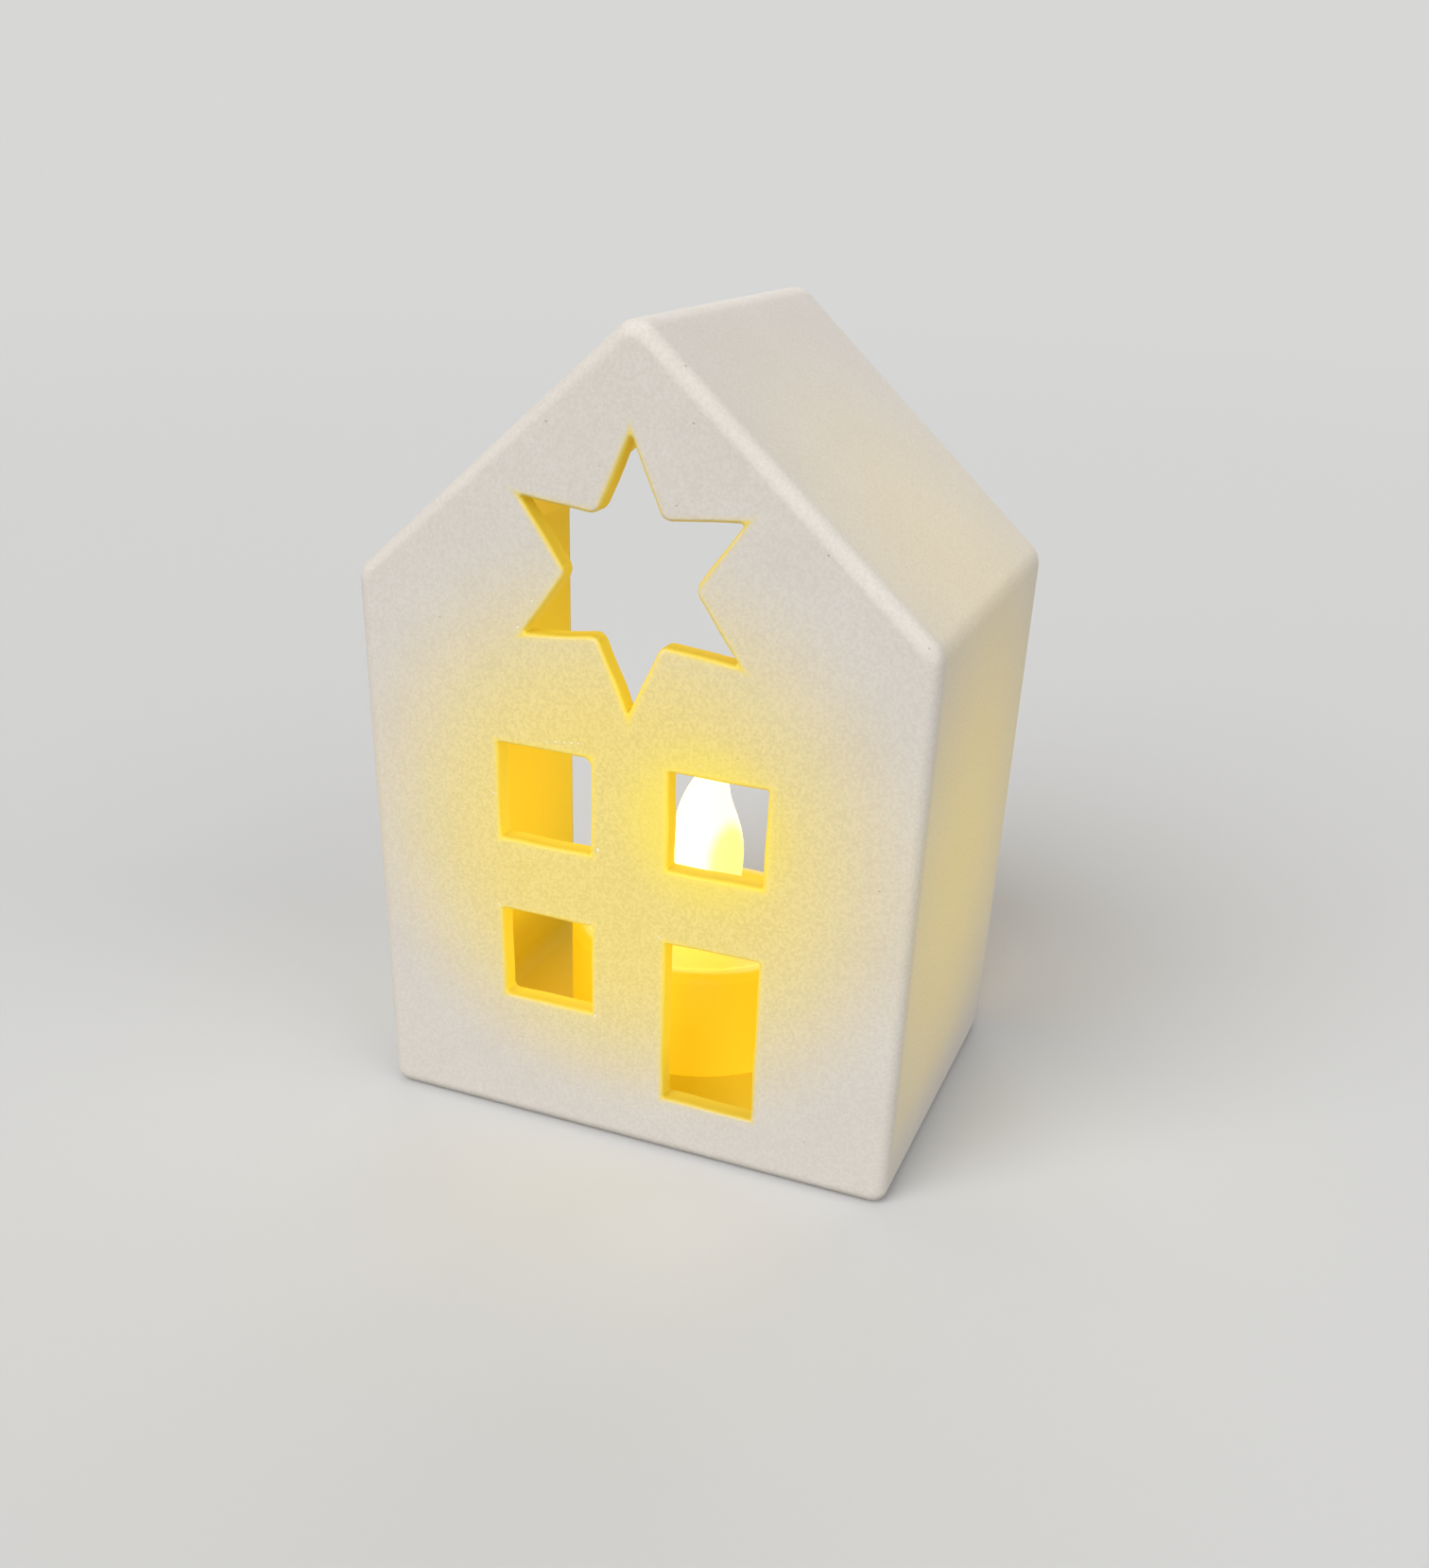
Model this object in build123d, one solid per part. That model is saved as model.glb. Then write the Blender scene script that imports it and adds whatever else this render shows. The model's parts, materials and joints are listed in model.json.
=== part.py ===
from build123d import *
import os
from math import atan2, cos, hypot, pi, radians, sin, tan

# A gabled house of white cast porcelain, open at the back, with an electric tealight standing in it.
# Millimetres. +X is to the right of the front wall, +Y points to the open back, +Z is up.
# The origin is the middle of the base.

# House shell
house_width = 70.0
house_depth = 50.0
eave_height = 70.0
ridge_height = 100.0
side_wall = 2.9
front_wall = 2.5
roof_wall = 2.8
floor_thickness = 2.8
foot_radius = 2.0
eave_radius = 3.0
ridge_radius = 3.0
front_edge_radius = 1.8
back_edge_radius = 0.7
cavity_corner_radius = 2.2
cavity_front_radius = 1.4

# Openings in the front wall
window_width = 12.0
window_height = 12.0
door_width = 12.0
door_sill_height = 8.25
left_column_x = -10.85
right_column_x = 11.1
lower_sill_height = 18.3
upper_sill_height = 40.05
opening_corner_radius = 0.8
opening_edge_radius = 0.45
opening_inner_edge_radius = 0.3
star_x = -0.05
star_height = 73.1
star_tip_radius = 15.1
star_notch_radius = 7.6
star_points = 6
star_notch_rounding = 1.4
star_tip_rounding = 0.25

# Where the tealight stands on the floor of the house
tealight_x = -2.5
tealight_back_gap = 0.1

# Tealight cup
cup_diameter = 37.0
cup_height = 15.7
cup_wall = 1.4
cup_seat_wall = 1.1
cup_top_thickness = 1.2
cup_edge_radius = 1.3
cup_inner_radius = 0.8
cup_foot_radius = 0.3
dish_rim_width = 2.0
dish_slope_width = 1.6
dish_depth = 0.7
collar_height = 0.8
collar_width = 1.5
nib_count = 4
nib_depth = 0.25
nib_height = 0.3
nib_spread = 10.0

# Flame, by its height above the rim of the cup
flame_neck_radius = 4.7
flame_bore_radius = 3.2
flame_flange_width = 1.7
flame_flange_thickness = 1.0
flame_height = 24.6
flame_radius = 4.9
flame_lean = 2.3
flame_lean_angle = 21.5
flame_tip_rounding = 0.3
flame_bore_gap = 0.6
# One row for each section: height, half width, sideways shift and half depth, as shares of
# the flame's height, radius, lean and half width.
flame_section_shares = (
    (0.12, 0.962, 0.07, 1.00),
    (0.25, 0.968, 0.17, 1.00),
    (0.38, 0.996, 0.22, 0.98),
    (0.51, 0.965, 0.15, 0.95),
    (0.63, 0.840, 0.03, 0.93),
    (0.74, 0.655, 0.02, 0.91),
    (0.83, 0.500, 0.21, 0.88),
    (0.92, 0.322, 0.60, 0.87),
    (1.00, 0.120, 1.00, 0.87),
)

# Light-emitting diode
led_radius = 2.5
led_length = 8.6
led_flange_width = 0.4
led_flange_thickness = 1.0
lead_thickness = 0.5
lead_spacing = 2.54
lead_bend_radius = 0.6
anode_lead_reach = 13.6
cathode_lead_reach = 9.2

# Coin cell, a standard 20 mm by 3.2 mm lithium cell
cell_diameter = 20.0
cell_height = 3.2
cell_can_height = 2.85
cell_can_wall = 0.3
cell_gasket_width = 0.75
cell_gasket_height = 2.95
cell_fit = 0.05
cell_edge_radius = 0.25

# Chassis that closes the cup from below and carries the works
plate_recess = 0.6
plate_thickness = 1.2
plate_fit = 0.1
well_wall = 0.9
well_clearance = 0.3
chamber_height = 1.2
deck_thickness = 1.0
deck_gap = 0.5
cell_lift = 0.1
led_post_radius = 3.8
led_post_bore = 2.2
led_post_height = 3.8
lead_slot_width = 1.2
lead_slot_height = 1.6
flange_post_count = 3
flange_post_radius = 0.9
flange_post_distance = 5.55
first_flange_post_angle = 90.0

# Battery cover with a bayonet lock
cover_lip = 2.0
cover_clearance = 0.2
cover_ring_width = 1.2
cover_ring_gap = 0.5
lug_count = 3
lug_reach = 1.4
lug_thickness = 0.8
lug_lift = 0.15
lug_spread = 24.0
lug_side_clearance = 2.0
cover_turn = 40.0
stop_spread = 4.0
stop_clearance = 1.5
coin_slot_length = 14.0
coin_slot_width = 1.8
coin_slot_depth = 0.7
cover_edge_radius = 0.25

# Slide switch
switch_travel = 2.5
switch_rim_gap = 1.1
slider_width = 3.1
slider_length = 6.0
slider_flange_thickness = 1.15
slider_body_width = 2.3
slider_body_height = 1.4
slider_lift = 0.05
knob_length = 2.6
knob_floor_gap = 0.4
knob_slot_clearance = 0.2
knob_edge_radius = 0.2
grip_groove_width = 0.3
grip_groove_depth = 0.25
grip_groove_count = 3

# Sheet metal
sheet_thickness = 0.3
sheet_bend_radius = 0.4
contact_gap = 0.05
negative_strip_width = 2.4
negative_strip_y = -6.0
negative_finger_length = 4.0
positive_strip_width = 3.0
positive_tab_length = 3.0
finger_width = 1.6
finger_spacing = 4.4
finger_reach = 3.0
finger_tail = 1.0
finger_tail_rise = 0.5
switch_pad_length = 3.0
sheet_window_clearance = 0.4

# How far a cutting shape runs past the faces that it cuts
cut_overrun = 2.0

# Sizes that follow from those above
house_half_width = house_width / 2
roof_rise = ridge_height - eave_height
roof_angle = atan2(roof_rise, house_half_width)
cup_radius = cup_diameter / 2
cup_bore = cup_radius - cup_wall
seat_bore = cup_radius - cup_seat_wall
tealight_y = house_depth / 2 - tealight_back_gap - cup_radius
dish_height = cup_height - dish_depth
cup_ceiling = dish_height - cup_top_thickness
collar_top = dish_height + collar_height
flange_bottom = cup_ceiling - flame_flange_thickness
plate_top = plate_recess + plate_thickness
plate_radius = seat_bore - plate_fit
cell_radius = cell_diameter / 2
cell_bottom = plate_top + cell_lift
cell_top = cell_bottom + cell_height
cover_radius = cell_radius + cover_lip
lug_radius = cover_radius + lug_reach
chamber_radius = lug_radius + well_clearance
chamber_top = plate_top + chamber_height
well_radius = chamber_radius + well_wall
well_x = cup_bore - well_radius - well_clearance
deck_bottom = cell_top + deck_gap
deck_top = deck_bottom + deck_thickness
led_seat = deck_top + led_post_height
cell_well_radius = cell_radius + well_clearance
slider_x = -(cup_bore - switch_rim_gap - slider_width / 2)
slider_bottom = plate_top + slider_lift
slider_flange_top = slider_bottom + slider_flange_thickness
slider_top = slider_flange_top + slider_body_height
knob_slot_width = slider_body_width + 2 * knob_slot_clearance
sheet_middle = deck_top + sheet_thickness / 2
lead_height = deck_top + sheet_thickness + lead_thickness / 2

upright = (Align.CENTER, Align.CENTER, Align.MIN)


def front_view(y=0):
    """The plane of a drawing seen from the front, X to the right and Z up."""
    return Plane(origin=(0, y, 0), x_dir=(1, 0, 0), z_dir=(0, -1, 0))


def disc(radius, bottom, top, x=0, y=0):
    """An upright cylinder between two heights."""
    return Pos(x, y, bottom) * Cylinder(radius, top - bottom, align=upright)


def block(x_range, y_range, z_range):
    """A box between two corners."""
    size = [high - low for low, high in (x_range, y_range, z_range)]
    return Pos(x_range[0], y_range[0], z_range[0]) * Box(*size, align=(Align.MIN,) * 3)


def ring_sector(inner, outer, bottom, top, middle, spread):
    """A piece of a ring, spread degrees wide about its middle angle."""
    outer_arc = CenterArc((0, 0), outer, middle - spread / 2, spread)
    inner_arc = CenterArc((0, 0), inner, middle - spread / 2, spread)
    sides = [Line(outer_arc @ end, inner_arc @ end) for end in (0, 1)]
    face = make_face([outer_arc, inner_arc, *sides])
    return extrude(Pos(0, 0, bottom) * face, top - bottom, dir=(0, 0, 1))


def sheet_strip(points, width, y):
    """A bent strip of sheet metal: its middle line in X and Z, its width along Y."""
    line = FilletPolyline(*points, radius=sheet_bend_radius)
    return extrude(front_view(y) * trace(line, sheet_thickness), width / 2, both=True)


def rounded_gable(half_width, base, eave, ridge, radii):
    """The outline of a gable wall in the front view, with its base, eave and ridge corners rounded."""
    right_side = [(half_width, base), (half_width, eave)]
    left_side = [(-x, z) for x, z in reversed(right_side)]
    base_radius, eave_corner_radius, ridge_corner_radius = radii
    face = Polygon(*right_side, (0, ridge), *left_side, align=None)
    by_height = face.vertices().sort_by(Axis.Y)
    face = fillet(by_height[:2], base_radius)
    by_height = face.vertices().sort_by(Axis.Y)
    face = fillet([by_height[-1]], ridge_corner_radius)
    eaves = [v for v in face.vertices() if abs(v.Y - eave) < abs(ridge - eave) / 100]
    return fillet(eaves, eave_corner_radius)


def prism(face, back, front):
    """A front-view face extruded between two places along Y."""
    return extrude(front_view(back) * face, back - front)


def star_outline():
    """A star of straight arms, with soft notches between them."""
    points = []
    for k in range(2 * star_points):
        radius = star_notch_radius if k % 2 else star_tip_radius
        angle = pi / 2 + k * pi / star_points
        points.append((radius * cos(angle), radius * sin(angle)))
    star = Polygon(*points, align=None)
    middle = (star_tip_radius + star_notch_radius) / 2
    notches = [v for v in star.vertices() if hypot(v.X, v.Y) < middle]
    star = fillet(notches, star_notch_rounding)
    tips = [v for v in star.vertices() if hypot(v.X, v.Y) > middle]
    return Pos(star_x, star_height) * fillet(tips, star_tip_rounding)


def rectangular_opening(width, sill, head, x):
    """A doorway or window outline between its sill and head, with softened corners."""
    return Pos(x, (sill + head) / 2) * RectangleRounded(width, head - sill, opening_corner_radius)


def front_openings():
    """The outlines cut through the front wall: three windows, the door and the star."""
    lower_head = lower_sill_height + window_height
    upper_head = upper_sill_height + window_height
    return [
        rectangular_opening(window_width, upper_sill_height, upper_head, left_column_x),
        rectangular_opening(window_width, upper_sill_height, upper_head, right_column_x),
        rectangular_opening(window_width, lower_sill_height, lower_head, left_column_x),
        rectangular_opening(door_width, door_sill_height, lower_head, right_column_x),
        star_outline(),
    ]


def opening_rims(shell, y):
    """The edges of the openings on the upright faces of the front wall that lie at y."""
    wall_faces = shell.faces().filter_by(Plane.XZ)
    faces = [face for face in wall_faces if abs(face.center().Y - y) < front_wall / 4]
    return [edge for face in faces for wire in face.inner_wires() for edge in wire.edges()]


def house_shell():
    """The cast shell: front wall, side walls, roof and floor in one piece, with no back wall."""
    back, front = house_depth / 2, -house_depth / 2
    radii = (foot_radius, eave_radius, ridge_radius)
    outline = rounded_gable(house_half_width, 0, eave_height, ridge_height, radii)
    shell = prism(outline, back, front)
    shell = fillet(shell.faces().sort_by(Axis.Y)[0].outer_wire().edges(), front_edge_radius)

    inner_half_width = house_half_width - side_wall
    inner_ridge = ridge_height - roof_wall / cos(roof_angle)
    inner_eave = inner_ridge - inner_half_width * tan(roof_angle)
    corners = (cavity_corner_radius,) * 3
    cavity_outline = rounded_gable(inner_half_width, floor_thickness, inner_eave, inner_ridge, corners)
    cavity = prism(cavity_outline, back + cut_overrun, front + front_wall)
    cavity = fillet(cavity.faces().sort_by(Axis.Y)[0].outer_wire().edges(), cavity_front_radius)
    shell -= cavity

    back_rim = shell.faces().sort_by(Axis.Y)[-1]
    shell = fillet(back_rim.edges(), back_edge_radius)

    for outline in front_openings():
        shell -= prism(outline, front + front_wall + cut_overrun, front - cut_overrun)
    shell = fillet(opening_rims(shell, front), opening_edge_radius)
    return fillet(opening_rims(shell, front + front_wall), opening_inner_edge_radius)


def tealight_cup():
    """The tealight's outer shell: a cylinder with a shallow dish in its top and a collar at the flame."""
    slope_start = cup_radius - dish_rim_width
    slope_end = slope_start - dish_slope_width
    neck_hole = flame_neck_radius + plate_fit
    collar_radius = neck_hole + collar_width
    profile = Polygon(
        (cup_radius, 0), (cup_radius, cup_height), (slope_start, cup_height), (slope_end, dish_height),
        (collar_radius, dish_height), (collar_radius, collar_top), (neck_hole, collar_top),
        (neck_hole, cup_ceiling), (cup_bore, cup_ceiling), (cup_bore, plate_top), (seat_bore, plate_top),
        (seat_bore, 0), align=None,
    )

    def corner(x, y):
        return profile.vertices().sort_by_distance((x, y, 0))[0]

    profile = fillet(corner(cup_radius, cup_height), cup_edge_radius)
    profile = fillet(corner(cup_bore, cup_ceiling), cup_inner_radius)
    profile = fillet(corner(cup_radius, 0), cup_foot_radius)
    profile = fillet([corner(slope_start, cup_height), corner(slope_end, dish_height)], dish_depth)
    collar_corners = [corner(radius, collar_top) for radius in (collar_radius, neck_hole)]
    profile = fillet(collar_corners, collar_height / 3)
    cup = revolve(front_view() * profile, Axis.Z)
    nib_inner, nib_outer = seat_bore - nib_depth, seat_bore + nib_depth
    for k in range(nib_count):
        angle = (k + 0.5) * 360 / nib_count
        cup += ring_sector(nib_inner, nib_outer, plate_recess - nib_height, plate_recess, angle, nib_spread)
    return cup


def flame_plane(shift, height):
    """A level plane on the flame's axis, shifted along and turned to the way that the tip leans."""
    angle = radians(flame_lean_angle)
    lean = Vector(cos(angle), sin(angle), 0)
    return Plane(origin=(shift * lean.X, shift * lean.Y, height), x_dir=lean, z_dir=(0, 0, 1))


def flame_section(height_share, width_share, lean_share, depth_share):
    """One oval section of the flame, shifted towards the side that the tip leans to."""
    half_width = flame_radius * width_share
    plane = flame_plane(flame_lean * lean_share, cup_height + flame_height * height_share)
    return plane * Ellipse(half_width, half_width * depth_share)


def flame_diffuser():
    """The hollow flame: a leaning lofted bulb on a round neck, with a flange under the cup's top."""
    flange = disc(flame_neck_radius + flame_flange_width, flange_bottom, cup_ceiling)
    neck = disc(flame_neck_radius, flange_bottom, collar_top)
    start = flame_plane(0, collar_top) * Circle(flame_neck_radius)
    bulb = loft([start, *(flame_section(*row) for row in flame_section_shares)])
    bulb = fillet(bulb.edges().sort_by(Axis.Z)[-1], flame_tip_rounding)
    dome_centre = led_seat + led_length + flame_bore_gap - flame_bore_radius
    bore = disc(flame_bore_radius, flange_bottom - cut_overrun, dome_centre)
    bore += Pos(0, 0, dome_centre) * Sphere(flame_bore_radius)
    return flange + neck + bulb - bore


def led_bulb():
    """A domed diode with a flange that is flat on its cathode side."""
    flange_radius = led_radius + led_flange_width
    flange = disc(flange_radius, led_seat, led_seat + led_flange_thickness)
    flat = block((-flange_radius - cut_overrun, -led_radius), (-flange_radius, flange_radius),
                 (led_seat - cut_overrun, led_seat + led_flange_thickness))
    dome_centre = led_seat + led_length - led_radius
    barrel = disc(led_radius, led_seat, dome_centre)
    return flange - flat + barrel + Pos(0, 0, dome_centre) * Sphere(led_radius)


def led_lead(side, reach):
    """A lead from the diode, down its post and out over the deck, towards one side."""
    x = side * lead_spacing / 2
    points = ((x, 0, led_seat), (x, 0, lead_height), (side * reach, 0, lead_height))
    path = FilletPolyline(*points, radius=lead_bend_radius)
    section = Plane(origin=(x, 0, led_seat), z_dir=(0, 0, -1)) * Circle(lead_thickness / 2)
    return sweep(section, path)


def coin_cell_can():
    """The cell's outer can, the positive side, facing the cover."""
    can = Pos(well_x, 0, 0) * disc(cell_radius, cell_bottom, cell_bottom + cell_can_height)
    can = fillet(can.edges().sort_by(Axis.Z)[0], cell_edge_radius)
    hollow_bottom = cell_bottom + cell_can_wall
    return can - disc(cell_radius - cell_can_wall, hollow_bottom, cell_top + cut_overrun, x=well_x)


def coin_cell_gasket():
    """The ring that insulates the cap from the can."""
    bottom = cell_bottom + cell_can_wall
    outer = cell_radius - cell_can_wall - cell_fit
    inner = cell_radius - cell_can_wall - cell_gasket_width
    ring = disc(outer, bottom, cell_bottom + cell_gasket_height, x=well_x)
    return ring - disc(inner, bottom - cut_overrun, cell_top + cut_overrun, x=well_x)


def coin_cell_cap():
    """The cell's cap, the negative side, with the sealed contents."""
    radius = cell_radius - cell_can_wall - cell_gasket_width - cell_fit
    cap = disc(radius, cell_bottom + cell_can_wall, cell_top, x=well_x)
    return fillet(cap.edges().sort_by(Axis.Z)[-1], cell_edge_radius)


def lug_angles():
    """Where the cover's lugs lie when it is locked."""
    return [k * 360 / lug_count for k in range(lug_count)]


def battery_well():
    """The round housing of the cell: a chamber for the lugs, the cell's pocket and the deck above."""
    well = disc(well_radius, plate_top, deck_top, x=well_x)
    well -= disc(chamber_radius, plate_top - cut_overrun, chamber_top, x=well_x)
    well -= disc(cell_well_radius, plate_top, deck_bottom, x=well_x)
    stop_offset = lug_spread / 2 + stop_clearance + stop_spread / 2
    for angle in lug_angles():
        for middle in (angle + stop_offset, angle - cover_turn - stop_offset):
            stop = ring_sector(cover_radius + 2 * cover_clearance, chamber_radius + well_wall / 2,
                               plate_top, chamber_top, middle, stop_spread)
            well += Pos(well_x, 0, 0) * stop
    return well


def chassis_plate():
    """The round plate under the works, with the cover's hole, its lug notches and the switch's slot."""
    plate = disc(plate_radius, plate_recess, plate_top)
    cut_bottom, cut_top = plate_recess - cut_overrun, plate_top + cut_overrun
    hole_radius = cover_radius + cover_clearance
    plate -= disc(hole_radius, cut_bottom, cut_top, x=well_x)
    for angle in lug_angles():
        notch = ring_sector(cover_radius, lug_radius + cover_clearance, cut_bottom, cut_top,
                            angle - cover_turn, lug_spread + 2 * lug_side_clearance)
        plate -= Pos(well_x, 0, 0) * notch
    half_slot = knob_length / 2 + knob_slot_clearance
    slot = block((slider_x - knob_slot_width / 2, slider_x + knob_slot_width / 2),
                 (-half_slot, half_slot + switch_travel), (cut_bottom, cut_top))
    return plate - slot


def base_chassis():
    """The moulded chassis: plate, battery well, diode post and the posts under the flame's flange."""
    chassis = chassis_plate() + battery_well()
    half_length = negative_finger_length / 2 + sheet_window_clearance
    half_width = negative_strip_width / 2 + sheet_window_clearance
    chassis -= block((well_x - half_length, well_x + half_length),
                     (negative_strip_y - half_width, negative_strip_y + half_width),
                     (cell_top, deck_top + cut_overrun))
    slot_inner = well_x + cell_radius
    slot_outer = slot_inner + contact_gap + sheet_thickness + sheet_window_clearance
    slot_half = positive_strip_width / 2 + sheet_window_clearance
    chassis -= block((slot_inner, slot_outer), (-slot_half, slot_half),
                     (chamber_top - cut_overrun, deck_top + cut_overrun))

    post = disc(led_post_radius, deck_top, led_seat)
    post -= disc(led_post_bore, deck_top, led_seat + cut_overrun)
    post -= block((-led_post_radius, led_post_radius), (-lead_slot_width / 2, lead_slot_width / 2),
                  (deck_top, deck_top + lead_slot_height))
    chassis += post
    for k in range(flange_post_count):
        angle = radians(first_flange_post_angle + k * 360 / flange_post_count)
        x, y = flange_post_distance * cos(angle), flange_post_distance * sin(angle)
        chassis += disc(flange_post_radius, deck_top, flange_bottom, x=x, y=y)
    return chassis


def positive_contact():
    """An angled strip: one leg beside the cell's can, the other lying on the deck."""
    leg_x = well_x + cell_radius + contact_gap + sheet_thickness / 2
    leg_bottom = cell_bottom + cell_can_height / 2
    points = ((leg_x, leg_bottom), (leg_x, sheet_middle), (leg_x + positive_tab_length, sheet_middle))
    return sheet_strip(points, positive_strip_width, 0)


def contact_finger(root_x, y):
    """A sprung finger from the deck's edge, down to the switch's bridge and up at its tip."""
    tip_z = slider_top + sheet_thickness + contact_gap + sheet_thickness / 2 + sheet_bend_radius / 3
    knee_x = well_x - well_radius - sheet_window_clearance
    points = (
        (root_x, sheet_middle), (knee_x, sheet_middle), (slider_x, tip_z),
        (slider_x - finger_tail, tip_z + finger_tail_rise),
    )
    return sheet_strip(points, finger_width, y)


def negative_contact():
    """A strip on the deck with a finger dipping to the cell's cap and another reaching to the switch."""
    finger_end = well_x + negative_finger_length / 2
    dip = cell_top + contact_gap + sheet_thickness / 2
    edge_x = well_x - well_radius + finger_reach
    points = (
        (edge_x, sheet_middle), (finger_end - negative_finger_length, sheet_middle),
        (well_x, dip), (finger_end, dip),
    )
    strip = sheet_strip(points, negative_strip_width, negative_strip_y)
    finger_y = -finger_spacing / 2
    cross = block((edge_x, edge_x + negative_strip_width),
                  (negative_strip_y - negative_strip_width / 2, finger_y + finger_width / 2),
                  (deck_top, deck_top + sheet_thickness))
    return strip + cross + contact_finger(edge_x + negative_strip_width, finger_y)


def switch_contact():
    """The pad under the cathode lead, with its own finger to the switch."""
    pad_x = well_x - well_radius + finger_reach
    finger_y = finger_spacing / 2
    pad = block((pad_x, pad_x + switch_pad_length), (-lead_thickness, finger_y + finger_width / 2),
                (deck_top, deck_top + sheet_thickness))
    return pad + contact_finger(pad_x + switch_pad_length, finger_y)


def battery_cover():
    """The cell's cover: a disc with a slot for a coin, and a ring of lugs that lock over the plate."""
    cover = disc(cover_radius, plate_recess, plate_top)
    slot = Pos(0, 0, plate_recess) * SlotOverall(coin_slot_length, coin_slot_width)
    cover -= extrude(slot, coin_slot_depth, both=True)
    cover = fillet(cover.faces().sort_by(Axis.Z)[0].edges(), cover_edge_radius)
    ring_inner = cell_radius + cover_ring_gap
    ring_outer = ring_inner + cover_ring_width
    lug_bottom = plate_top + lug_lift
    ring_top = lug_bottom + lug_thickness
    cover += disc(ring_outer, plate_top, ring_top) - disc(ring_inner, plate_top, ring_top)
    for angle in lug_angles():
        cover += ring_sector(ring_inner, lug_radius, lug_bottom, ring_top, angle, lug_spread)
    return Pos(well_x, 0, 0) * cover


def switch_slider():
    """The switch's slider: a flange on the plate, a body above and a ribbed knob through the slot."""
    half_width, half_body = slider_width / 2, slider_body_width / 2
    half_length, half_knob = slider_length / 2, knob_length / 2
    flange = block((slider_x - half_width, slider_x + half_width), (-half_length, half_length),
                   (slider_bottom, slider_flange_top))
    body_x = (slider_x - half_body, slider_x + half_body)
    body_half = half_length - sheet_thickness
    body = block(body_x, (-body_half, body_half), (slider_flange_top, slider_top))
    knob = block(body_x, (-half_knob, half_knob), (knob_floor_gap, slider_bottom))
    knob = fillet(knob.faces().sort_by(Axis.Z)[0].edges(), knob_edge_radius)
    pitch = knob_length / (grip_groove_count + 1)
    for k in range(grip_groove_count):
        middle = (k + 1) * pitch - half_knob
        knob -= block(body_x, (middle - grip_groove_width / 2, middle + grip_groove_width / 2),
                      (knob_floor_gap - cut_overrun, knob_floor_gap + grip_groove_depth))
    return flange + body + knob


def switch_bridge():
    """The metal clip over the slider, which joins the two fingers."""
    half_body, half_length = slider_body_width / 2, slider_length / 2
    clip = block((slider_x - half_body, slider_x + half_body), (-half_length, half_length),
                 (slider_flange_top, slider_top + sheet_thickness))
    inner = half_length - sheet_thickness
    return clip - block((slider_x - slider_width, slider_x + slider_width), (-inner, inner),
                        (slider_flange_top - cut_overrun, slider_top))


tealight_place = Pos(tealight_x, tealight_y, floor_thickness)
pieces = {
    "house_shell": house_shell(),
    "tealight_cup": tealight_place * tealight_cup(),
    "flame_diffuser": tealight_place * flame_diffuser(),
    "led_bulb": tealight_place * led_bulb(),
    "led_anode_lead": tealight_place * led_lead(1, anode_lead_reach),
    "led_cathode_lead": tealight_place * led_lead(-1, cathode_lead_reach),
    "base_chassis": tealight_place * base_chassis(),
    "coin_cell_can": tealight_place * coin_cell_can(),
    "coin_cell_gasket": tealight_place * coin_cell_gasket(),
    "coin_cell_cap": tealight_place * coin_cell_cap(),
    "positive_contact": tealight_place * positive_contact(),
    "negative_contact": tealight_place * negative_contact(),
    "switch_contact": tealight_place * switch_contact(),
    "battery_cover": tealight_place * battery_cover(),
    "switch_slider": tealight_place * switch_slider(),
    "switch_bridge": tealight_place * switch_bridge(),
}

os.makedirs("parts", exist_ok=True)
for name, shape in pieces.items():
    export_step(shape, f"parts/{name}.step")
    print(f"{name}: {len(shape.solids())} solid, {shape.volume:.1f} cubic mm")
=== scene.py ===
import json
from math import cos, pi, radians, sin

import bmesh
import bpy
from mathutils import Matrix, Vector, noise


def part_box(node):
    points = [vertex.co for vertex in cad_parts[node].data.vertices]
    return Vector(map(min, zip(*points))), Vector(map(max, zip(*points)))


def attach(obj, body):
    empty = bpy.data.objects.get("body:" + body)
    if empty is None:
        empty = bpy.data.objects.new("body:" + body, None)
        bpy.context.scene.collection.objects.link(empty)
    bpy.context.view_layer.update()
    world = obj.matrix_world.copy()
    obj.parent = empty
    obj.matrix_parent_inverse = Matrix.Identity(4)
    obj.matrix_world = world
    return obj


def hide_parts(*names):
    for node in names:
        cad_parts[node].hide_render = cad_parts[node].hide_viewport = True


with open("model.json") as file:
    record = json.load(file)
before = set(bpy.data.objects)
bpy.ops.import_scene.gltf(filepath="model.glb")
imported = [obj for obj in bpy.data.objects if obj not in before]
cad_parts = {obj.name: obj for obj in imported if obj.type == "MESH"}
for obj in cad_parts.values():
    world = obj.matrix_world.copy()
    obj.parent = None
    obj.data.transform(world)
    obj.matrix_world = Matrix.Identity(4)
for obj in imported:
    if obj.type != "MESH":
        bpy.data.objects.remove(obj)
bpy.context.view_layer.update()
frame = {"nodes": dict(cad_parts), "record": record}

# Metres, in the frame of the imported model: +X to the right, +Y to the open back, +Z up
millimetre = 0.001

# The camera that took the photograph: the picture's height, the focal length and the row of the lens
# axis are in pixels, the rest in millimetres of the sensor, metres and radians
photo_height = 1659
photo_focal_pixels = 1614.0
photo_axis_row = 1046.6
sensor_size = 36.0
camera_place = (0.06872, -0.17477, 0.11523)
camera_heading = radians(20.85)
camera_tilt = radians(-29.20)
camera_roll = radians(2.29)

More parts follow.
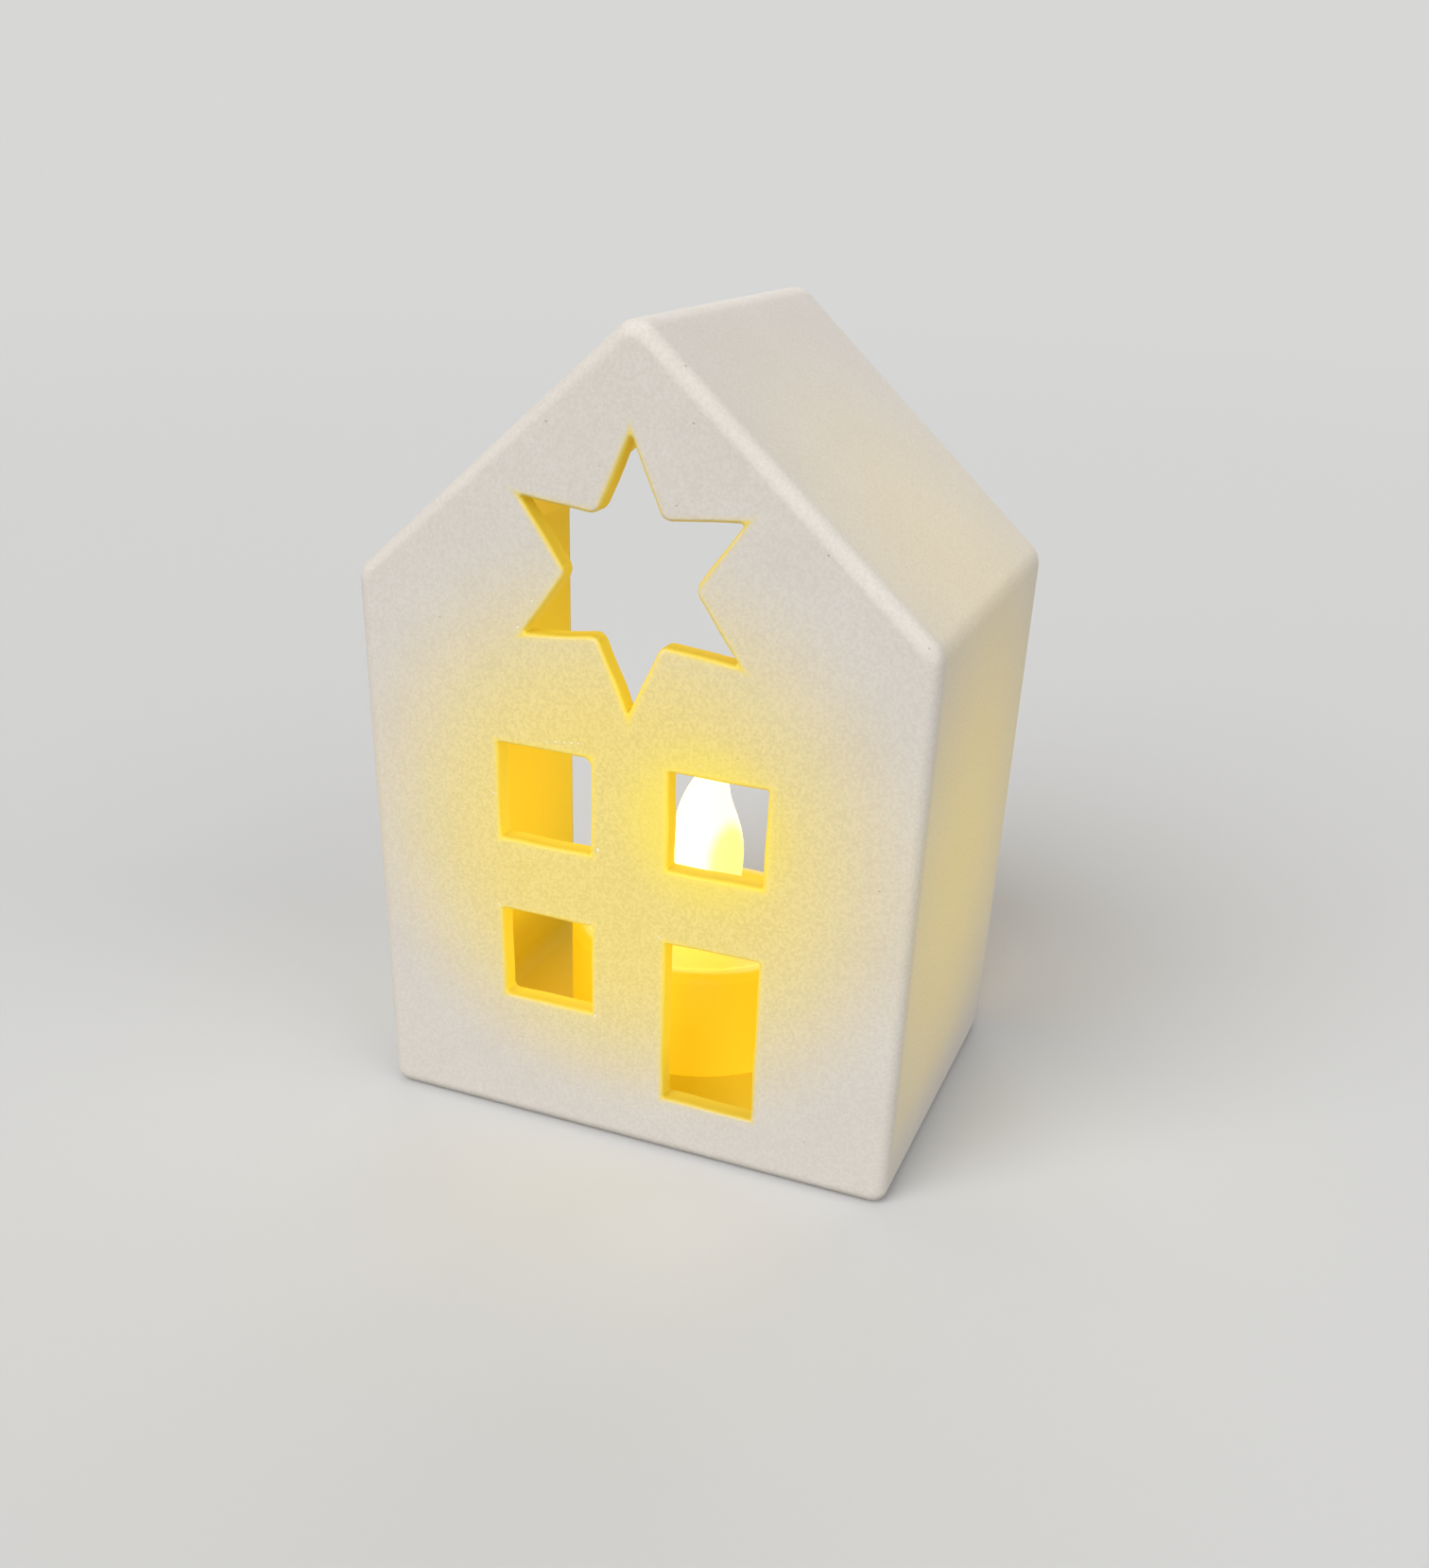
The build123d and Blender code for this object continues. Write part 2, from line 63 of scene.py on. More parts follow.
# Studio: a lamp has the side that it shines from, its strength, and how wide it looks in degrees
floor_radius = 3.0
floor_colour = (0.66, 0.66, 0.655)
floor_bounce = (0.36, 0.36, 0.36)
floor_fade = (0.35, 1.2)
background_colour = (0.68, 0.68, 0.675)
sky_colour = (1.0, 1.0, 1.0)
sky_strength = 0.15
lamps = {
    "key": ((-0.30, -0.80, 0.66), 2.4, 50),
    "fill": ((0.95, -0.35, 0.36), 1.35, 60),
    "top": ((-0.15, -0.10, 1.10), 0.38, 60),
    "back": ((-0.20, 0.90, 0.45), 0.80, 60),
}

# The frame's nodes that the finishes are placed by, and the gable: the ridge is where the roof's
# slopes would meet
house_low, house_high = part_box("house_shell")
cup_low, cup_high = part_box("tealight_cup")
flame_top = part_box("flame_diffuser")[1].z
cup_middle = (cup_low + cup_high) / 2
cup_top = Vector((cup_middle.x, cup_middle.y, cup_high.z))
flame_middle = Vector((cup_middle.x, cup_middle.y, (cup_high.z + flame_top) / 2))
ridge_height = 100 * millimetre
eave_height = 70 * millimetre
roof_slope = (ridge_height - eave_height) / house_high.x

# The openings of the front wall: the record's boxes lie a little inside their edges
opening_boxes = {box["name"]: box["box_m"] for box in frame["record"]["physics"]["openings"]}
square_names = ("upper_left_window", "upper_right_window", "lower_left_window", "doorway")
square_openings = {name: opening_boxes[name] for name in square_names}
opening_inset = 0.25 * millimetre
star_middle = (-0.05 * millimetre, 73.1 * millimetre)
star_points = 6
star_tip_radius = 15.1 * millimetre
star_notch_radius = 7.6 * millimetre

# The radius that the solid gives the corners of the square openings, the one that they were cut with
# in the photograph, and the two corners that differ, by opening and by its side across and up
modelled_corner = 0.8 * millimetre
usual_corner = 0.28 * millimetre
other_corners = {
    ("upper_left_window", 1, 1): 0.95 * millimetre,
    ("lower_left_window", -1, -1): 0.8 * millimetre,
}

# How far from its corner a vertex of the rounding lies at most, and the error in a place's last digits
corner_reach = 2 * modelled_corner
rounding_error = 1e-7

# The part of the front wall that holds the rims of all openings and none of the wall's own edges
wall_back = -22.5 * millimetre
rims_back = wall_back + 0.05 * millimetre
rims_side = 25 * millimetre
rims_foot = 6.5 * millimetre
rims_below_roof = 7.2 * millimetre

# The hand-cut edges: the seed that makes their waves the same in each run, how long and deep the waves
# are and how little they change through the wall, and how many cuts divide an edge longer than each length
waver_seed = 30
waver_size = 5.0 * millimetre
waver_depth = 0.17 * millimetre
waver_through = 0.3
cuts_by_length = ((15 * millimetre, 16), (8 * millimetre, 8), (3 * millimetre, 5))

# Limits in the shell's mesh: how near vertices are merged, how squarely the wall's faces look along Y,
# and the angles within which triangles are joined and edges are shaded smooth
merge_distance = 0.0005 * millimetre
level_facing = 0.9995
flat_angle = radians(1)
quad_shape_angle = radians(60)
smooth_angle = radians(35)

# Crumbs and burrs of clay beside the openings. Each has its place across and up the front wall and
# its radius, in millimetres, its height as a share of the radius, and its turn in degrees
crumbs = (
    (-10.3, 53.2, 0.13, 0.8, 0), (-9.2, 53.4, 0.18, 0.8, 0), (-8.1, 53.5, 0.15, 0.8, 0),
    (-7.2, 53.6, 0.18, 0.8, 0), (-6.3, 53.7, 0.14, 0.8, 0), (-3.8, 40.8, 0.20, 1.5, -20),
    (-17.6, 45.6, 0.14, 0.8, 0), (-11.9, 69.4, 0.17, 0.8, 0), (-13.8, 66.2, 0.18, 0.8, 0),
    (-4.3, 17.9, 0.15, 2.6, 25), (4.3, 30.9, 0.12, 3.0, -35), (-17.4, 30.7, 0.10, 4.0, -40),
    (-5.1, 31.0, 0.13, 0.8, 0), (8.9, 53.6, 0.12, 0.8, 0),
)

# Each crumb's depth, and how far its middle lies behind the wall's face, as shares of its radius
crumb_depth_share = 0.6
crumb_sunk_share = 0.25

# The tealight's light, which is painted on: its colour, and the strength of each finish that glows
glow_colour = (1.0, 0.68, 0.010)
collar_glow_colour = (1.0, 0.70, 0.02)
no_light = (0.0, 0.0, 0.0)
flame_glow = 3.0
diode_glow = 4.0
cup_glow = 0.40
porcelain_glow = 0.50

# Middles of the light that comes through the walls, of the halo on the front, of the hot spot at the
# flame's window and of the flame's dull cheek
glow_middle = Vector((2, -3, 38)) * millimetre
halo_middle = Vector((0, -3, 41)) * millimetre
hot_spot = Vector((9.5, -25, 46)) * millimetre
cheek_middle = flame_middle + Vector((4.5, -1.6, -2.5)) * millimetre
cheek_stretch = (1.3, 1.0, 0.72)

# Bands that the light fades over. The first value is where it starts, the second where it is full.
# Distances from the flame in the room, from the middles above and from the top of the cup
room_reach = (62 * millimetre, 20 * millimetre)
wall_reach = (62 * millimetre, 16 * millimetre)
halo_reach = (46 * millimetre, 25 * millimetre)
hot_spot_reach = (13 * millimetre, 5.5 * millimetre)
cheek_reach = (5.0 * millimetre, 2.8 * millimetre)
collar_reach = (19 * millimetre, 6 * millimetre)
# Depths below the outer faces of the house, at which the room's light takes over
sides_skin = (0.9 * millimetre, 2.0 * millimetre)
floor_skin = (1.2 * millimetre, 2.4 * millimetre)
roof_skin = (1.6 * millimetre, 3.2 * millimetre)
front_skin = (0.02 * millimetre, 0.4 * millimetre)
back_skin = (0.1 * millimetre, 1.2 * millimetre)
# Heights of the painted light above the foot, of the painted shade below the cup's collar and at the
# room's floor, and of the darker patches at the foot
foot_light = (0, 12 * millimetre)
collar_shade = (cup_high.z - 2 * millimetre, cup_high.z - 11 * millimetre)
floor_shade = (7 * millimetre, 3.6 * millimetre)
foot_patch_heights = (2.2 * millimetre, 0.2 * millimetre)
# Places through the front wall: at its face, anywhere in it, and in its outer half
front_face = (house_low.y + 3 * millimetre, house_low.y + 0.5 * millimetre)
whole_wall = (house_low.y + 3.5 * millimetre, house_low.y + 2.5 * millimetre)
outer_half = (house_low.y + 2.3 * millimetre, house_low.y + 0.3 * millimetre)
# Distances from the edge of an opening, below 0 within it, for the painted glow on its rims and edges, and
# how far up a sill faces, for the painted shade on it
rim_width = (1.1 * millimetre, -0.2 * millimetre)
edge_width = (0.5 * millimetre, 0.1 * millimetre)
sill_facing = (0.25, 0.85)

# Shares of the porcelain's painted light, on its outside and in the room, and of the painted shade on its
# sills, below the cup and at the floor
sides_light, front_light, hot_light = 0.54, 0.30, 0.16
rim_light, lit_rim_light, edge_light = 0.08, 0.16, 0.08
speckle_contrast = 0.12
sill_shade_share = 0.4
flame_light, room_light = 0.62, 0.29
below_cup_loss, at_floor_loss = 0.55, 0.08
inner_sill_shade_share, outer_sill_shade_share = 0.1, 0.3

# Colours of the porcelain: its clay and what marks it, the tints of the flame's painted light, and those of
# the painted shade on sills
clay_colours = (0.70, 0.65, 0.59), (0.75, 0.705, 0.65)
speckle_colour = (0.58, 0.52, 0.45)
foot_patch_colour = (0.50, 0.44, 0.37)
pore_colour = (0.45, 0.40, 0.34)
wall_glow_tints = (0.80, 0.66, 0.20), (0.72, 0.58, 0.15)
hot_spot_glow_tint = (0.78, 0.66, 0.10)
rim_glow_tint = (0.76, 0.62, 0.08)
edge_glow_tint = (0.77, 0.58, 0.05)
sill_shade_tint = (0.56, 0.38, 0.03)
room_glow_tint = (0.70, 0.55, 0.05)
room_sill_shade_tint = (0.48, 0.31, 0.01)

# The plain plastics: colour, roughness, and the tint of their flow clouds
plastics = {
    "chassis_plastic": ((0.84, 0.83, 0.79), 0.42, (0.79, 0.77, 0.72)),
    "cell_seal": ((0.03, 0.03, 0.032), 0.5, (0.05, 0.05, 0.05)),
    "switch_plastic": ((0.02, 0.02, 0.022), 0.4, (0.035, 0.035, 0.036)),
}

# The metals: colour, colour of the stains, roughness, and the scale of the brushing along each axis
metals = {
    "tinned_wire": ((0.72, 0.72, 0.70), (0.50, 0.50, 0.49), 0.34, (1, 1, 1)),
    "cell_steel": ((0.70, 0.70, 0.69), (0.56, 0.55, 0.52), 0.24, (1, 0.04, 1)),
    "contact_metal": ((0.74, 0.71, 0.64), (0.58, 0.54, 0.46), 0.28, (0.05, 1, 1)),
}


class Value:
    """A varying value in a node tree: arithmetic on it adds Math nodes."""

    def __init__(self, nodes, socket):
        self.nodes = nodes
        self.socket = socket

    def math(self, operation, *others):
        return self.nodes.math(operation, self, *others)

    def __add__(self, other):
        return self.math("ADD", other)

    def __sub__(self, other):
        return self.math("SUBTRACT", other)

    def __rsub__(self, other):
        return self.nodes.math("SUBTRACT", other, self)

    def __mul__(self, other):
        return self.math("MULTIPLY", other)

    __radd__ = __add__
    __rmul__ = __mul__


class Nodes:
    """A tree of shader nodes."""

    def __init__(self, tree):
        self.tree = tree

    def fill(self, node, inputs):
        """Links varying values to a node's sockets, and sets the other ones."""
        for key, value in inputs.items():
            if isinstance(value, Value):
                self.tree.links.new(value.socket, node.inputs[key])
            else:
                node.inputs[key].default_value = value

    def node(self, kind, settings=None, inputs=None, output=0):
        """Adds a node: its settings first, then the values or links of its sockets."""
        made = self.tree.nodes.new(kind)
        for key, value in (settings or {}).items():
            setattr(made, key, value)
        self.fill(made, inputs or {})
        if made.outputs:
            return Value(self, made.outputs[output])

    def math(self, operation, *values):
        return self.node("ShaderNodeMath", {"operation": operation}, dict(enumerate(values)))

    def seen_directly(self):
        """1 for what the camera sees, also in gloss and through glass, and 0 for what lights the object."""
        seen = self.node("ShaderNodeLightPath", output="Is Camera Ray")
        rays = seen.socket.node.outputs
        for ray in ("Is Glossy Ray", "Is Transmission Ray"):
            seen = seen.math("MAXIMUM", Value(self, rays[ray]))
        return seen


class Finish(Nodes):
    """A procedural material on one Principled shader."""

    def __init__(self, name, roughness, **sockets):
        self.material = bpy.data.materials.new(name)
        self.material.use_nodes = True
        super().__init__(self.material.node_tree)
        self.shader = self.tree.nodes["Principled BSDF"]
        self.set(Roughness=roughness, **sockets)
        self.place = self.node("ShaderNodeTexCoord", output="Object")

    def set(self, **sockets):
        """Sets the shader's own sockets, or links values to them."""
        self.fill(self.shader, {name.replace("_", " "): value for name, value in sockets.items()})

    def noise(self, size, detail=2.0, roughness=0.5, place=None):
        """Cloudy noise from 0 to 1, with features about size metres across."""
        inputs = {"Vector": place or self.place, "Scale": 1 / size, "Detail": detail, "Roughness": roughness}
        return self.node("ShaderNodeTexNoise", inputs=inputs)

    def cells(self, size):
        """Distance to the nearest point of a random scatter, size metres apart."""
        inputs = {"Vector": self.place, "Scale": 1 / size}
        return self.node("ShaderNodeTexVoronoi", inputs=inputs, output="Distance")

    def band(self, value, start, end):
        """0 up to start and 1 from end on, smooth between them; start may be above end."""
        inputs = {"Value": value, "From Min": min(start, end), "From Max": max(start, end),
                  "To Min": float(start > end), "To Max": float(start < end)}
        return self.node("ShaderNodeMapRange", {"interpolation_type": "SMOOTHSTEP"}, inputs)

    def axes(self):
        """X, Y and Z of the place on the piece."""
        split = self.node("ShaderNodeSeparateXYZ", inputs={"Vector": self.place})
        return [Value(self, socket) for socket in split.socket.node.outputs]

    def upward(self):
        """How far the surface faces up: 1 on a level top, 0 on a wall and below 0 on an underside."""
        facing = self.node("ShaderNodeTexCoord", output="Normal")
        return self.node("ShaderNodeSeparateXYZ", inputs={"Vector": facing}, output="Z")

    def distance(self, point, stretch=(1.0, 1.0, 1.0)):
        """Distance in metres from a point, with each axis stretched first."""
        place = self.node("ShaderNodeVectorMath", {"operation": "MULTIPLY"}, {0: self.place, 1: stretch})
        inputs = {0: place, 1: Vector(point) * Vector(stretch)}
        return self.node("ShaderNodeVectorMath", {"operation": "DISTANCE"}, inputs, "Value")

    def mix(self, share, first, second):
        """A colour that goes from the first to the second as share goes from 0 to 1."""
        first_socket, second_socket, result_socket = 6, 7, 2
        inputs = {0: share}
        for socket, colour in ((first_socket, first), (second_socket, second)):
            inputs[socket] = colour if isinstance(colour, Value) else (*colour, 1.0)
        return self.node("ShaderNodeMix", {"data_type": "RGBA"}, inputs, result_socket)

    def layers(self, colour, *layers):
        """Lays colours over a first one in turn, each by its share."""
        for share, over in layers:
            colour = self.mix(share, colour, over)
        return colour

    def bump(self, height, depth):
        """Raises the surface by height times depth metres, in shading."""
        inputs = {"Height": height, "Distance": depth, "Strength": 1.0}
        self.set(Normal=self.node("ShaderNodeBump", inputs=inputs))


def below_roof(across, z):
    """How far a place lies below the roof's outer face."""
    return ridge_height - across * roof_slope - z


def inside_house(finish, x, y, z):
    """1 on the walls of the room and in the openings' reveals, 0 on the outside."""
    across = finish.math("ABSOLUTE", x)
    inside = finish.band(house_high.x - across, *sides_skin)
    inside = inside * finish.band(z, *floor_skin)
    inside = inside * finish.band(below_roof(across, z), *roof_skin)
    inside = inside * finish.band(y - house_low.y, *front_skin)
    return inside * finish.band(house_high.y - y, *back_skin)


def to_star(finish, x, z):
    """Distance in metres to the star's edge, below 0 within it, worked out on half of one arm."""
    across, up = x - star_middle[0], z - star_middle[1]
    reach = finish.math("SQRT", across * across + up * up)
    half_arm = pi / star_points
    turn = finish.math("PINGPONG", finish.math("ARCTAN2", across, up), half_arm)
    along, beside = reach * finish.math("COSINE", turn), reach * finish.math("SINE", turn)
    notch = Vector((star_notch_radius * cos(half_arm), star_notch_radius * sin(half_arm)))
    edge = notch - Vector((star_tip_radius, 0))
    outward = Vector((edge.y, -edge.x)).normalized()
    return (along - star_tip_radius) * outward.x + beside * outward.y


def to_opening(finish, x, z):
    """Distance in metres to the nearest edge of the windows, the door and the star, below 0 within them."""
    nearest = to_star(finish, x, z)
    for low, high in square_openings.values():
        past_side = finish.math("ABSOLUTE", x - (low[0] + high[0]) / 2) - (high[0] - low[0]) / 2
        past_end = finish.math("ABSOLUTE", z - (low[2] + high[2]) / 2) - (high[2] - low[2]) / 2
        nearest = nearest.math("MINIMUM", past_side.math("MAXIMUM", past_end) - opening_inset)
    return nearest


def light_through_walls(finish, y, z):
    """1 on the front's face, and the strength of the painted light through the walls, which has a halo there.
    """
    in_front = finish.band(y, *front_face)
    around = finish.band(finish.distance(glow_middle), *wall_reach)
    halo = finish.band(finish.distance(halo_middle), *halo_reach)
    return in_front, (around + in_front * (halo - around)) * finish.band(z, *foot_light)


def opening_edges(finish, x, y, z):
    """The rims about the openings, their edges and reveals, which get painted glow, and those of them that
    face up, which get painted shade.
    """
    gap = to_opening(finish, x, z)
    in_wall = finish.band(y, *whole_wall)
    rim = finish.band(gap, *rim_width) * in_wall
    edge = finish.band(gap, *edge_width) * in_wall
    return rim, edge, edge * finish.band(finish.upward(), *sill_facing)


def porcelain_finish():
    """Unglazed white porcelain: fine grain, faint clouding, pores, and darker patches at the foot.

    The flame's light is painted on its colour and emission: in the room, faintly through the walls with a
    halo and a hot spot on the front, and on the openings' rims and edges. Painted shade darkens the sills
    that face up, and the room below the cup's collar and at its floor."""
    roughness = 0.56
    finish = Finish("porcelain", roughness, Subsurface_Weight=0.15, Subsurface_Scale=1.5 * millimetre,
                    Subsurface_Radius=(1.0, 0.95, 0.9), Specular_IOR_Level=0.35,
                    Emission_Strength=porcelain_glow)
    x, y, z = finish.axes()
    inside = inside_house(finish, x, y, z)
    in_front, through = light_through_walls(finish, y, z)
    hot = finish.band(finish.distance(hot_spot), *hot_spot_reach)
    rim, edge, sill = opening_edges(finish, x, y, z)
    outer = finish.band(y, *outer_half)
    grain = finish.noise(0.35 * millimetre, detail=4.0, roughness=0.65)
    speckle = finish.band(grain, 0.38, 0.62)
    clouds = finish.noise(9 * millimetre, detail=3.0)
    swells = finish.noise(14 * millimetre, detail=1.0)
    pores = finish.band(finish.cells(3.4 * millimetre), 0.05, 0.02)
    # Darker patches toward the foot, within about 2 mm of it
    foot_patches = finish.band(z, *foot_patch_heights) * finish.noise(3 * millimetre, detail=4.0)

    # The colour carries painted light: the flame's yellow through the walls, a hot spot at its window, and
    # glow on the openings' rims and edges; sills that face up get painted shade
    colour = finish.layers(
        finish.mix(clouds, *clay_colours),
        (speckle * 0.32, speckle_colour),
        (foot_patches * 0.55, foot_patch_colour),
        (pores * 0.5, pore_colour),
        (through * (0.62 + in_front * 0.23), finish.mix(speckle, *wall_glow_tints)),
        (hot * 0.6, hot_spot_glow_tint),
        (rim * 0.45, rim_glow_tint),
        (edge * 0.7, edge_glow_tint),
        (sill * 0.45, sill_shade_tint),
    )
    # In the room the colour is painted light from the flame, with painted shade on the sills
    room = finish.mix(sill * (0.3 + outer * 0.2), room_glow_tint, room_sill_shade_tint)
    finish.set(Base_Color=finish.mix(inside, colour, room))

    # Painted light as emission on the outside: through the walls, at the hot spot and on rims and edges, less
    # on the sills as painted shade
    glow = through * (sides_light - in_front * (sides_light - front_light)) + hot * hot_light
    glow = glow * (1 + speckle_contrast / 2 - speckle * speckle_contrast)
    glow = glow + rim * (rim_light + through * lit_rim_light) + edge * edge_light
    glow = glow * (1 - sill * sill_shade_share)
    # Painted light as emission in the room, with painted shade below the cup's collar, at the room's floor
    # and on the sills
    near_flame = finish.band(finish.distance(flame_middle), *room_reach)
    below_cup = finish.band(z, *collar_shade)
    at_floor = finish.band(z, *floor_shade)
    lit = near_flame * flame_light + room_light
    lit = lit * (1 - below_cup * below_cup_loss - at_floor * at_floor_loss)
    lit = lit * (1 - sill * (inner_sill_shade_share + outer * outer_sill_shade_share))
    outside = finish.mix(glow, no_light, glow_colour)
    within = finish.mix(lit, no_light, glow_colour)
    finish.set(Emission_Color=finish.mix(inside, outside, within))

    finish.set(Roughness=roughness + grain * 0.22)
    finish.bump(grain * 0.22 + swells * 1.2 - pores * 0.5, 0.15 * millimetre)
    return finish


def crumb_finish():
    """Raw clay, a little paler than the wall; the paleness also stands for the crumbs' glints, a painted
    highlight.
    """
    finish = Finish("clay_crumbs", 0.7, Specular_IOR_Level=0.2)
    grain = finish.noise(0.1 * millimetre, detail=3.0)
    finish.set(Base_Color=finish.mix(grain, (0.90, 0.84, 0.64), (0.97, 0.92, 0.76)))
    finish.bump(grain, 0.02 * millimetre)
    return finish


def moulded_finish(name, colour, roughness, tint):
    """Satin moulded plastic: faint flow clouds and a fine spark-eroded texture."""
    finish = Finish(name, roughness)
    clouds = finish.noise(6 * millimetre, detail=2.0)
    texture = finish.noise(0.12 * millimetre, detail=2.0)
    scuffs = finish.band(finish.noise(1.6 * millimetre, detail=5.0, roughness=0.7), 0.62, 0.72)
    finish.set(Base_Color=finish.mix(clouds * 0.6, colour, tint))
    finish.set(Roughness=roughness + scuffs * 0.12 + texture * 0.08 - 0.04)
    finish.bump(texture + clouds * 4.0, 0.006 * millimetre)
    return finish


def cup_finish():
    """The cup's translucent plastic, with the diode's light painted on: its yellow colour and its glow, a
    little yellower at the collar, are painted light.
    """
    finish = moulded_finish("cup_plastic", (0.80, 0.61, 0.07), 0.36, (0.76, 0.57, 0.06))
    near = finish.band(finish.distance(cup_top), *collar_reach)
    finish.set(Emission_Color=finish.mix(near, glow_colour, collar_glow_colour), Emission_Strength=cup_glow)
    return finish


def flame_finish():
    """Frosted plastic lit from inside, white-hot but for one cheek, which is dull and yellow."""
    finish = Finish("flame_plastic", 0.45, Emission_Strength=flame_glow)
    cheek = finish.band(finish.distance(cheek_middle, cheek_stretch), *cheek_reach)
    frost = finish.noise(0.5 * millimetre, detail=3.0)
    finish.set(Base_Color=finish.mix(frost, (0.93, 0.86, 0.62), (0.97, 0.92, 0.74)))
    finish.set(Emission_Color=finish.mix(cheek, (1.0, 0.66, 0.29), (0.22, 0.22, 0.085)))
    finish.bump(frost, 0.02 * millimetre)
    return finish


def epoxy_finish():
    """Clear amber epoxy over the lit chip."""
    finish = Finish("led_epoxy", 0.12, Emission_Strength=diode_glow, Coat_Weight=0.5)
    clouds = finish.noise(1.2 * millimetre)
    finish.set(Base_Color=finish.mix(clouds, (0.90, 0.66, 0.22), (0.95, 0.78, 0.35)))
    finish.set(Emission_Color=finish.mix(clouds, (1.0, 0.62, 0.12), (1.0, 0.80, 0.35)))
    return finish


def metal_finish(name, colour, stain, roughness, brush):
    """Plated metal with faint stains, brushed along the axis whose scale in brush is small."""
    finish = Finish(name, roughness, Metallic=1.0)
    brushed = finish.node("ShaderNodeMapping", inputs={"Vector": finish.place, "Scale": brush})
    lines = finish.noise(0.15 * millimetre, detail=3.0, place=brushed)
    stains = finish.band(finish.noise(2.2 * millimetre, detail=4.0), 0.5, 0.75)
    finish.set(Base_Color=finish.mix(stains * 0.5, colour, stain))
    finish.set(Roughness=roughness + lines * 0.18 + stains * 0.1)
    finish.bump(lines, 0.004 * millimetre)
    return finish


finishes = {
    "porcelain": porcelain_finish(),
    "cup_plastic": cup_finish(),
    "flame_plastic": flame_finish(),
    "led_epoxy": epoxy_finish(),
}
for name, values in plastics.items():
    finishes[name] = moulded_finish(name, *values)
for name, values in metals.items():
    finishes[name] = metal_finish(name, *values)


def dress_nodes():
    """Gives each node of the frame the finish of its slot."""
    for part in frame["record"]["subparts"]:
        for place in frame["nodes"][part["node"]].material_slots:
            place.material = finishes[part["material_slot"]].material


def new_piece(name, form, finish, body):
    """Makes a piece of a bmesh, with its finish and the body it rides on."""
    mesh = bpy.data.meshes.new(name)
    form.to_mesh(mesh)
    form.free()
    piece = bpy.data.objects.new(name, mesh)
    bpy.context.scene.collection.objects.link(piece)
    mesh.materials.append(finish.material)
    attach(piece, body)
    return piece


def rim_vertices(form):
    """The vertices about the openings in the front wall."""
    rims = set()
    for vertex in form.verts:
        x, y, z = vertex.co
        if y < rims_back and abs(x) < rims_side and z > rims_foot and below_roof(abs(x), z) > rims_below_roof:
            rims.add(vertex)
    return rims


def reset_corner(vertices, corner, side, radius):
    """Moves the rounding of an opening's corner to another radius; side points out of the opening."""
    old = corner - side * modelled_corner
    new = corner - side * radius
    for vertex in vertices:
        out = vertex.co.xz - old
        if out.x * side.x > -rounding_error and out.y * side.y > -rounding_error:
            place = new + out.normalized() * (out.length - modelled_corner + radius)
            vertex.co.x, vertex.co.z = place


def reset_corners(rims):
    """Gives the corners of the windows and the door the radii that they were cut with."""
    for name, (low, high) in square_openings.items():
        for across, up in ((-1, -1), (-1, 1), (1, -1), (1, 1)):
            side = Vector((across, up))
            x, z = (high if across > 0 else low)[0], (high if up > 0 else low)[2]
            corner = Vector((x, z)) + side * opening_inset
            near = [vertex for vertex in rims if (vertex.co.xz - corner).length < corner_reach]
            reset_corner(near, corner, side, other_corners.get((name, across, up), usual_corner))


def divide_reveals(form):
    """Joins the triangles of the openings' reveals and divides their long edges, so that these can waver."""
    rims = rim_vertices(form)
    bent = [face for face in form.faces if abs(face.normal.y) < level_facing and rims.issuperset(face.verts)]
    bmesh.ops.join_triangles(
        form, faces=bent, angle_face_threshold=flat_angle, angle_shape_threshold=quad_shape_angle)
    longest = float("inf")
    for shortest, cuts in cuts_by_length:
        rims = rim_vertices(form)
        group = [edge for edge in form.edges
                 if rims.issuperset(edge.verts) and shortest < edge.calc_length() <= longest
                 and any(abs(face.normal.y) < level_facing for face in edge.link_faces)]
        bmesh.ops.subdivide_edges(form, edges=group, cuts=cuts, use_grid_fill=True, use_single_edge=True)
        longest = shortest


def hand_cut_shell():
    """The porcelain shell, with the corners and the wavering edges of openings that were cut by hand."""
    form = bmesh.new()
    form.from_mesh(frame["nodes"]["house_shell"].data)
    bmesh.ops.remove_doubles(form, verts=form.verts, dist=merge_distance)
    reset_corners(rim_vertices(form))
    divide_reveals(form)
    noise.seed_set(waver_seed)
    for vertex in rim_vertices(form):
        x, y, z = vertex.co
        shift = noise.noise_vector(Vector((x, y * waver_through, z)) / waver_size) * waver_depth
        vertex.co += Vector((shift.x, 0, shift.z))
    for face in form.faces:
        face.smooth = True
    for edge in form.edges:
        edge.smooth = edge.calc_face_angle(0) < smooth_angle
    shell = new_piece("hand_cut_shell", form, finishes["porcelain"], "house")
    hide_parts("house_shell")
    even = shell.modifiers.new("even_shading", "WEIGHTED_NORMAL")
    even.weight = 90
    even.keep_sharp = True


def clay_crumbs():
    """The crumbs that the cutting of the openings left on the front wall, more than half sunk in it."""
    form = bmesh.new()
    for x, z, radius, height_share, turn in crumbs:
        middle = Vector((x, house_low.y / millimetre + radius * crumb_sunk_share, z)) * millimetre
        shape = Matrix.Diagonal((1.0, crumb_depth_share, height_share, 1.0))
        place = Matrix.Translation(middle) @ Matrix.Rotation(radians(turn), 4, "Y") @ shape
        bmesh.ops.create_icosphere(form, subdivisions=2, radius=radius * millimetre, matrix=place)
    for face in form.faces:
        face.smooth = True
    new_piece("clay_crumbs", form, crumb_finish(), "house")


